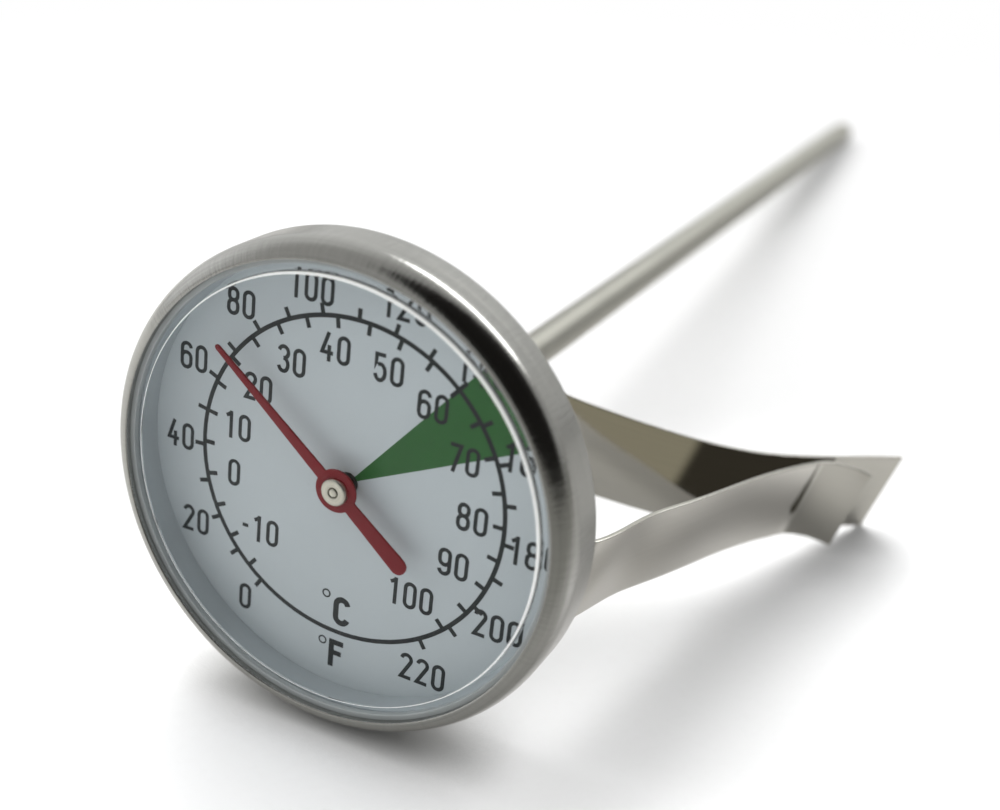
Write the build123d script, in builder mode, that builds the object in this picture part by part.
from build123d import *
import os
from math import atan2, cos, hypot, radians, sin

# Dial thermometer with a probe stem and a spring clip. Millimetres.
# Construction frame: Y runs along the stem, from the dial's printed face (y = 0)
# to the probe tip; the face looks to -Y, +Z is dial up, +X is dial right.
# Every part is moved on export so that the origin lies on the stem axis at the
# tip end of the stem's straight wall.
# In the names below, FRONT and BACK are the -Y and +Y ends of a feature.

# case cup
CASE_R = 22.55  # outside of the bezel
BEZEL_T = 0.5  # bezel wall
CUP_R = CASE_R - BEZEL_T
CUP_T = 0.5
CUP_INNER_R = CUP_R - CUP_T
CUP_FILLET = 1.6  # outside radius of the rear corner
CUP_BACK = 2.6
CUP_FLOOR = CUP_BACK - CUP_T
CUP_RIM = -2.8
CORNER_R = CUP_R - CUP_FILLET  # centre of the rear corner
CORNER_Y = CUP_BACK - CUP_FILLET

# window, its seal and the spacer behind it
LENS_BACK = CUP_RIM
LENS_STEP = -3.3  # front of the flange
LENS_FRONT = -4.1
LENS_PLATEAU_R = 19.72
LENS_FILLET = 0.2
SEAT_R = 21.65  # outside of the window's flange and of its seal
GASKET_R = 20.45
SPACER_R = 20.5

# bezel
BEZEL_BACK = 1.2  # rear edge of the skirt
BEZEL_EDGE_R = 0.25
BEZEL_SHOULDER = -2.2  # where the bezel starts to round over
BEZEL_FRONT = -4.56
BEZEL_CROWN_R = 21.02
LIP_R = 20.9  # opening of the bezel
LIP_UNDER = -3.9  # underside of the lip, on the gasket
# (distance in from CASE_R, distance forward of the shoulder)
BEZEL_ROUND = [(0.22, 1.2), (0.68, 1.95), (1.2, 2.28)]

# dial plate
DIAL_T = 0.4
DIAL_RIM_T = 0.42

# stem and ferrule
STEM_R = 1.9
STEM_T = 0.3
STEM_BORE = STEM_R - STEM_T
STEM_FRONT = 1.3
STEM_END = 180.1  # end of the straight wall
PLUG_SPIGOT = 1.6  # length of the tip plug inside the tube
CRIMP_FRONT = 27.6  # rolled crimp that holds the guide bush
CRIMP_BACK = CRIMP_FRONT + 1.2
CRIMP_D = 0.3
CRIMP_RAMP = 0.3
FERRULE_R = 2.4  # in the cup's hole
FERRULE_FLANGE_R = 3.6  # inside the cup
BOSS_R = 2.95  # behind the cup
BOSS_END = 4.0
BOSS_CHAMFER = 0.3

# shaft and its guide bushes
SHAFT_R = 0.5
SHAFT_BACK = 133.0
SHAFT_NOSE_R = 0.4
SHAFT_NOSE_CHAMFER = 0.08
BUSH_BORE = 0.55
BUSH_R = 1.0  # in the dial's hole
BUSH_FRONT = -0.3
BUSH_FLANGE_R = 1.8
BUSH_BACK = 1.0
MID_BUSH_REACH = 1.4  # beyond each side of the crimp

# bimetal coil and its two mounts
COIL_FRONT = 134.35
COIL_END = 176.4
COIL_MEAN_R = 1.2
COIL_PITCH = 1.75
COIL_STRIP_T = 0.22
COIL_STRIP_W = 0.9
COLLAR_R = 1.35
COLLAR_OVERLAP = 2.0  # along the shaft
COLLAR_BACK = COIL_FRONT - 0.05
ANCHOR_SPIGOT_R = 0.9
ANCHOR_SPIGOT = 0.6

# pointer, hub and cap
REST_DEG = -52.2  # clockwise from dial up, seen from the front
POINTER_FRONT = -2.0
POINTER_T = 0.25
POINTER_BACK = POINTER_FRONT + POINTER_T
POINTER_DISC_R = 2.0
BLADE_END = 16.45
BLADE_POINT = 0.35  # length of the sharp end
BLADE_ROOT_HALF = 0.6
BLADE_END_HALF = 0.25
TAIL_END = 9.1
TAIL_ROOT_HALF = 0.58
TAIL_LOBE_R = 0.82
TAIL_LOBE_X = -(TAIL_END - TAIL_LOBE_R)
HUB_R = 1.1
HUB_BACK = -0.5
HUB_CHAMFER = 0.25
CAP_R = 1.25
CAP_FRONT = -2.42
CAP_FILLET = 0.2
SHAFT_FRONT = CAP_FRONT - 0.10

# clip
CLIP_DEG = -16.7  # direction of the jaws, above the dial's right
CLIP_W = 9.8
CLIP_T = 0.4
CLIP_HOLE_R = 2.05
HOLE_DEPTH = 30  # through the base plate and the inner jaw
PLATE_Y = 4.35  # middle of the base plate
SPLIT = 19.0  # where the outer jaw starts to flex
SPINE_X = -6.0
BEND_R = 1.3
STRAIGHT_END = 6.0  # where the inner jaw starts to curve
TRIM = 1.0  # side of the square cut at the split
# Jaw centre lines: (distance from the stem axis along the jaws, y)
OUTER_JAW = [
    (SPLIT, PLATE_Y), (19.25, PLATE_Y + 0.01), (19.65, PLATE_Y + 0.13),
    (20.2, PLATE_Y + 0.52), (20.67, PLATE_Y + 1.35),
    (21.02, 6.75), (21.5, 8.6), (22.1, 11.6), (22.8, 14.6), (24.0, 18.2),
    (25.4, 22.3), (27.4, 28.7), (29.8, 35.5), (31.3, 39.0), (31.86, 40.24),
    # lip that turns outward
    (32.23, 41.06), (32.54, 41.56), (33.12, 42.25), (34.4, 43.33),
    (35.75, 44.05), (37.1, 44.45),
]
INNER_JAW = [
    (0.0, 22.0), (8.6, 24.75), (12.8, 26.5), (16.9, 28.55), (22.0, 31.6),
    (26.7, 35.6), (31.3, 41.35), (33.5, 44.45), (36.0, 48.2), (38.85, 52.25),
]

os.makedirs("parts", exist_ok=True)


def emit(name, shape):
    """Move a part to the final origin and write its STEP file."""
    placed = shape.moved(Location((0, -STEM_END, 0)))
    if len(placed.solids()) == 1:
        placed = placed.solids()[0]
    placed.label = name
    export_step(placed, "parts/" + name + ".step")


def ring(profile):
    """Revolve a closed (radius, y) outline about the stem axis."""
    with BuildPart() as turned:
        with BuildSketch(Plane.XY):
            with BuildLine():
                Polyline(*profile, close=True)
            make_face()
        revolve(axis=Axis.Y)
    return turned.part


def rounded_ring(profile, edge_r, edge_y, radius):
    """A ring with its circular edge at (edge_r, edge_y) filleted."""
    tolerance = 0.02
    with BuildPart() as turned:
        add(ring(profile))
        edges = [
            edge for edge in turned.part.edges().filter_by(GeomType.CIRCLE)
            if abs(edge.radius - edge_r) < tolerance
            and abs(edge.arc_center.Y - edge_y) < tolerance
        ]
        fillet(edges, radius)
    return turned.part


def crimped(radius):
    """Outline points of the crimp on a wall of the given radius, front to back."""
    return [
        (radius, CRIMP_FRONT),
        (radius - CRIMP_D, CRIMP_FRONT + CRIMP_RAMP),
        (radius - CRIMP_D, CRIMP_BACK - CRIMP_RAMP),
        (radius, CRIMP_BACK),
    ]


# ---- case cup: drawn steel dish with a hole for the ferrule
with BuildPart() as cup:
    with BuildSketch(Plane.XY):
        with BuildLine():
            Polyline((FERRULE_R, CUP_BACK), (CORNER_R, CUP_BACK))
            RadiusArc((CORNER_R, CUP_BACK), (CUP_R, CORNER_Y), CUP_FILLET)
            Polyline((CUP_R, CORNER_Y), (CUP_R, CUP_RIM), (CUP_INNER_R, CUP_RIM),
                     (CUP_INNER_R, CORNER_Y))
            RadiusArc((CUP_INNER_R, CORNER_Y), (CORNER_R, CUP_FLOOR), -(CUP_FILLET - CUP_T))
            Polyline((CORNER_R, CUP_FLOOR), (FERRULE_R, CUP_FLOOR), (FERRULE_R, CUP_BACK))
        make_face()
    revolve(axis=Axis.Y)
emit("case_cup", cup.part)

# ---- bezel ring: skirt outside the cup, fat rounded lip folded in over the window
COS_45 = cos(radians(45))
lip_round = BEZEL_CROWN_R - LIP_R
edge_inset = BEZEL_EDGE_R * (1 - COS_45)
with BuildPart() as bezel:
    with BuildSketch(Plane.XY):
        with BuildLine():
            Line((CUP_R, BEZEL_BACK), (CASE_R - BEZEL_EDGE_R, BEZEL_BACK))
            ThreePointArc((CASE_R - BEZEL_EDGE_R, BEZEL_BACK),
                          (CASE_R - edge_inset, BEZEL_BACK - edge_inset),
                          (CASE_R, BEZEL_BACK - BEZEL_EDGE_R))
            Line((CASE_R, BEZEL_BACK - BEZEL_EDGE_R), (CASE_R, BEZEL_SHOULDER))
            Spline((CASE_R, BEZEL_SHOULDER),
                   *[(CASE_R - inset, BEZEL_SHOULDER - rise) for inset, rise in BEZEL_ROUND],
                   (BEZEL_CROWN_R, BEZEL_FRONT), tangents=((0, -1), (-1, 0)))
            ThreePointArc((BEZEL_CROWN_R, BEZEL_FRONT),
                          (BEZEL_CROWN_R - lip_round * COS_45,
                           BEZEL_FRONT + lip_round * (1 - COS_45)),
                          (LIP_R, BEZEL_FRONT + lip_round))
            Polyline((LIP_R, BEZEL_FRONT + lip_round), (LIP_R, LIP_UNDER),
                     (SEAT_R, LIP_UNDER), (SEAT_R, LENS_STEP + 0.05),
                     (CUP_R, CUP_RIM - 0.1), (CUP_R, BEZEL_BACK))
        make_face()
    revolve(axis=Axis.Y)
emit("bezel_ring", bezel.part)

# ---- window: raised plateau on a clamped flange
emit("lens", rounded_ring(
    [(0, LENS_BACK), (SEAT_R, LENS_BACK), (SEAT_R, LENS_STEP),
     (LENS_PLATEAU_R, LENS_STEP), (LENS_PLATEAU_R, LENS_FRONT), (0, LENS_FRONT)],
    LENS_PLATEAU_R, LENS_FRONT, LENS_FILLET))

emit("lens_gasket", ring([
    (GASKET_R, LENS_STEP), (SEAT_R, LENS_STEP), (SEAT_R, LIP_UNDER), (GASKET_R, LIP_UNDER)]))

emit("spacer_ring", ring([
    (SPACER_R, 0.0), (CUP_INNER_R, 0.0), (CUP_INNER_R, LENS_BACK), (SPACER_R, LENS_BACK)]))

# ---- dial plate with a rim turned back to the start of the cup's corner
emit("dial_plate", ring([
    (BUSH_R, 0.0), (CUP_INNER_R, 0.0), (CUP_INNER_R, CORNER_Y),
    (CUP_INNER_R - DIAL_RIM_T, CORNER_Y), (CUP_INNER_R - DIAL_RIM_T, DIAL_T),
    (BUSH_R, DIAL_T)]))

# ---- ferrule: turned collar joining stem and case
emit("stem_ferrule", ring([
    (STEM_R, STEM_FRONT), (FERRULE_FLANGE_R, STEM_FRONT), (FERRULE_FLANGE_R, CUP_FLOOR),
    (FERRULE_R, CUP_FLOOR), (FERRULE_R, CUP_BACK), (BOSS_R, CUP_BACK),
    (BOSS_R, BOSS_END - BOSS_CHAMFER), (BOSS_R - BOSS_CHAMFER, BOSS_END),
    (STEM_R, BOSS_END)]))

# ---- stem tube with one rolled crimp
emit("stem_tube", ring([
    (STEM_R, STEM_FRONT), *crimped(STEM_R), (STEM_R, STEM_END),
    (STEM_BORE, STEM_END), *reversed(crimped(STEM_BORE)), (STEM_BORE, STEM_FRONT)]))

# ---- tip plug: domed end with a spigot in the tube
plug_front = STEM_END - PLUG_SPIGOT
with BuildPart() as plug:
    with BuildSketch(Plane.XY):
        with BuildLine():
            Line((0, plug_front), (STEM_BORE, plug_front))
            Line((STEM_BORE, plug_front), (STEM_BORE, STEM_END))
            Line((STEM_BORE, STEM_END), (STEM_R, STEM_END))
            RadiusArc((STEM_R, STEM_END), (0, STEM_END + STEM_R), -STEM_R)
            Line((0, STEM_END + STEM_R), (0, plug_front))
        make_face()
    revolve(axis=Axis.Y)
emit("stem_tip_plug", plug.part)

# ---- guide bushes: one in the dial, one held by the crimp
emit("shaft_bush_top", ring([
    (BUSH_BORE, BUSH_FRONT), (BUSH_R, BUSH_FRONT), (BUSH_R, DIAL_T),
    (BUSH_FLANGE_R, DIAL_T), (BUSH_FLANGE_R, BUSH_BACK), (BUSH_BORE, BUSH_BACK)]))
mid_front = CRIMP_FRONT - MID_BUSH_REACH
mid_back = CRIMP_BACK + MID_BUSH_REACH
emit("shaft_bush_mid", ring([
    (BUSH_BORE, mid_front), (STEM_BORE, mid_front), *crimped(STEM_BORE),
    (STEM_BORE, mid_back), (BUSH_BORE, mid_back)]))

# ---- pointer shaft, stepped at the front for the cap
emit("pointer_shaft", ring([
    (0, SHAFT_FRONT), (SHAFT_NOSE_R - SHAFT_NOSE_CHAMFER, SHAFT_FRONT),
    (SHAFT_NOSE_R, SHAFT_FRONT + SHAFT_NOSE_CHAMFER), (SHAFT_NOSE_R, POINTER_FRONT),
    (SHAFT_R, POINTER_FRONT), (SHAFT_R, SHAFT_BACK), (0, SHAFT_BACK)]))

# ---- collar that joins the shaft to the front end of the coil
collar_front = SHAFT_BACK - COLLAR_OVERLAP
emit("coil_collar", ring([
    (0, SHAFT_BACK), (SHAFT_R, SHAFT_BACK), (SHAFT_R, collar_front),
    (COLLAR_R, collar_front), (COLLAR_R, COLLAR_BACK), (0, COLLAR_BACK)]))

# ---- bimetal coil: flat strip wound with its width along the stem
with BuildPart() as coil:
    with BuildLine():
        path = Helix(pitch=COIL_PITCH, height=COIL_END - COIL_FRONT - COIL_STRIP_W,
                     radius=COIL_MEAN_R, center=(0, COIL_FRONT + COIL_STRIP_W / 2, 0),
                     direction=(0, 1, 0))
    start = path @ 0
    radial = Vector(start.X, 0, start.Z).normalized()
    with BuildSketch(Plane(start, x_dir=radial, z_dir=path % 0)):
        Rectangle(COIL_STRIP_T, COIL_STRIP_W)
    sweep(path=path, is_frenet=True)
emit("bimetal_coil", coil.part)

# ---- coil anchor: plug in the tube that the back end of the coil is welded to
anchor_front = COIL_END - ANCHOR_SPIGOT
emit("coil_anchor", ring([
    (0, anchor_front), (ANCHOR_SPIGOT_R, anchor_front), (ANCHOR_SPIGOT_R, COIL_END),
    (STEM_BORE, COIL_END), (STEM_BORE, plug_front), (0, plug_front)]))

# ---- pointer: tapered blade, round boss and counterweight tail in one stamping
rest = radians(REST_DEG)
# local x runs towards the blade's tip
pointer_plane = Plane((0, POINTER_FRONT, 0), x_dir=(sin(rest), 0, cos(rest)), z_dir=(0, 1, 0))
blade_shoulder = BLADE_END - BLADE_POINT
with BuildPart() as pointer:
    with BuildSketch(pointer_plane):
        Circle(POINTER_DISC_R)
        with BuildLine():
            Polyline((0, -BLADE_ROOT_HALF), (blade_shoulder, -BLADE_END_HALF), (BLADE_END, 0),
                     (blade_shoulder, BLADE_END_HALF), (0, BLADE_ROOT_HALF), close=True)
        make_face()
        with BuildLine():
            Polyline((0, -TAIL_ROOT_HALF), (TAIL_LOBE_X, -TAIL_LOBE_R),
                     (TAIL_LOBE_X, TAIL_LOBE_R), (0, TAIL_ROOT_HALF), close=True)
        make_face()
        with Locations((TAIL_LOBE_X, 0)):
            Circle(TAIL_LOBE_R)
        Circle(SHAFT_R, mode=Mode.SUBTRACT)
    extrude(amount=POINTER_T)
emit("pointer", pointer.part)

emit("pointer_hub", ring([
    (SHAFT_R, POINTER_BACK), (HUB_R, POINTER_BACK), (HUB_R, HUB_BACK - HUB_CHAMFER),
    (HUB_R - HUB_CHAMFER, HUB_BACK), (SHAFT_R, HUB_BACK)]))

emit("hub_cap", rounded_ring(
    [(SHAFT_NOSE_R, POINTER_FRONT), (CAP_R, POINTER_FRONT), (CAP_R, CAP_FRONT),
     (SHAFT_NOSE_R, CAP_FRONT)],
    CAP_R, CAP_FRONT, CAP_FILLET))

# ---- spring clip: one folded strip; the outer jaw is a separate body because it flexes
clip_cos = cos(radians(CLIP_DEG))
clip_sin = sin(radians(CLIP_DEG))
# local x runs along the jaws, local y along the stem
side_plane = Plane((0, 0, 0), x_dir=(clip_cos, 0, clip_sin), z_dir=(-clip_sin, 0, clip_cos))


def jaw_outline(centre_line, start_angle):
    """Side view of a strip CLIP_T thick that leaves its first point at start_angle."""
    last = len(centre_line) - 1
    normals = [(-sin(start_angle), cos(start_angle))]
    for i in range(1, last + 1):
        x0, y0 = centre_line[i - 1]
        x1, y1 = centre_line[min(i + 1, last)]
        length = hypot(x1 - x0, y1 - y0)
        normals.append((-(y1 - y0) / length, (x1 - x0) / length))
    upper, lower = [
        [(x + shift * nx, y + shift * ny) for (x, y), (nx, ny) in zip(centre_line, normals)]
        for shift in (CLIP_T / 2, -CLIP_T / 2)
    ]
    with BuildSketch(side_plane) as outline:
        with BuildLine():
            Spline(*upper)
            Line(upper[-1], lower[-1])
            Spline(*lower[::-1])
            Line(lower[0], upper[0])
        make_face()
    return outline.sketch


# the inner jaw is straight from the spine to STRAIGHT_END
jaw_dx = INNER_JAW[1][0] - INNER_JAW[0][0]
jaw_dy = INNER_JAW[1][1] - INNER_JAW[0][1]
slope = jaw_dy / jaw_dx
spine_end_y = INNER_JAW[0][1] + slope * SPINE_X
curve_start = (STRAIGHT_END, INNER_JAW[0][1] + slope * STRAIGHT_END)

with BuildPart() as body:
    # base plate, spine and straight of the inner jaw: bent centre line, then thickened
    with BuildSketch(side_plane):
        with BuildLine() as centre:
            Polyline((SPLIT, PLATE_Y), (SPINE_X, PLATE_Y), (SPINE_X, spine_end_y), curve_start)
            for bend_y in (PLATE_Y, spine_end_y):
                bend = side_plane.from_local_coords((SPINE_X, bend_y))
                fillet(centre.vertices().sort_by_distance(bend)[0:1], BEND_R)
            offset(amount=CLIP_T / 2, side=Side.BOTH)
        make_face()
    extrude(amount=CLIP_W / 2, both=True)
    extrude(jaw_outline([curve_start] + INNER_JAW[1:], atan2(jaw_dy, jaw_dx)),
            amount=CLIP_W / 2, both=True)
    # hole for the stem
    with BuildSketch(Plane((0, 0, 0), x_dir=(1, 0, 0), z_dir=(0, 1, 0))):
        Circle(CLIP_HOLE_R)
    extrude(amount=HOLE_DEPTH, mode=Mode.SUBTRACT)
    # clear anything beyond the split, where the outer jaw begins
    with BuildSketch(side_plane):
        with Locations((SPLIT + TRIM / 2, PLATE_Y)):
            Rectangle(TRIM, TRIM)
    extrude(amount=CLIP_W, both=True, mode=Mode.SUBTRACT)
emit("clip_body", body.part)

with BuildPart() as outer_jaw:
    extrude(jaw_outline(OUTER_JAW, 0), amount=CLIP_W / 2, both=True)
emit("clip_outer_jaw", outer_jaw.part)
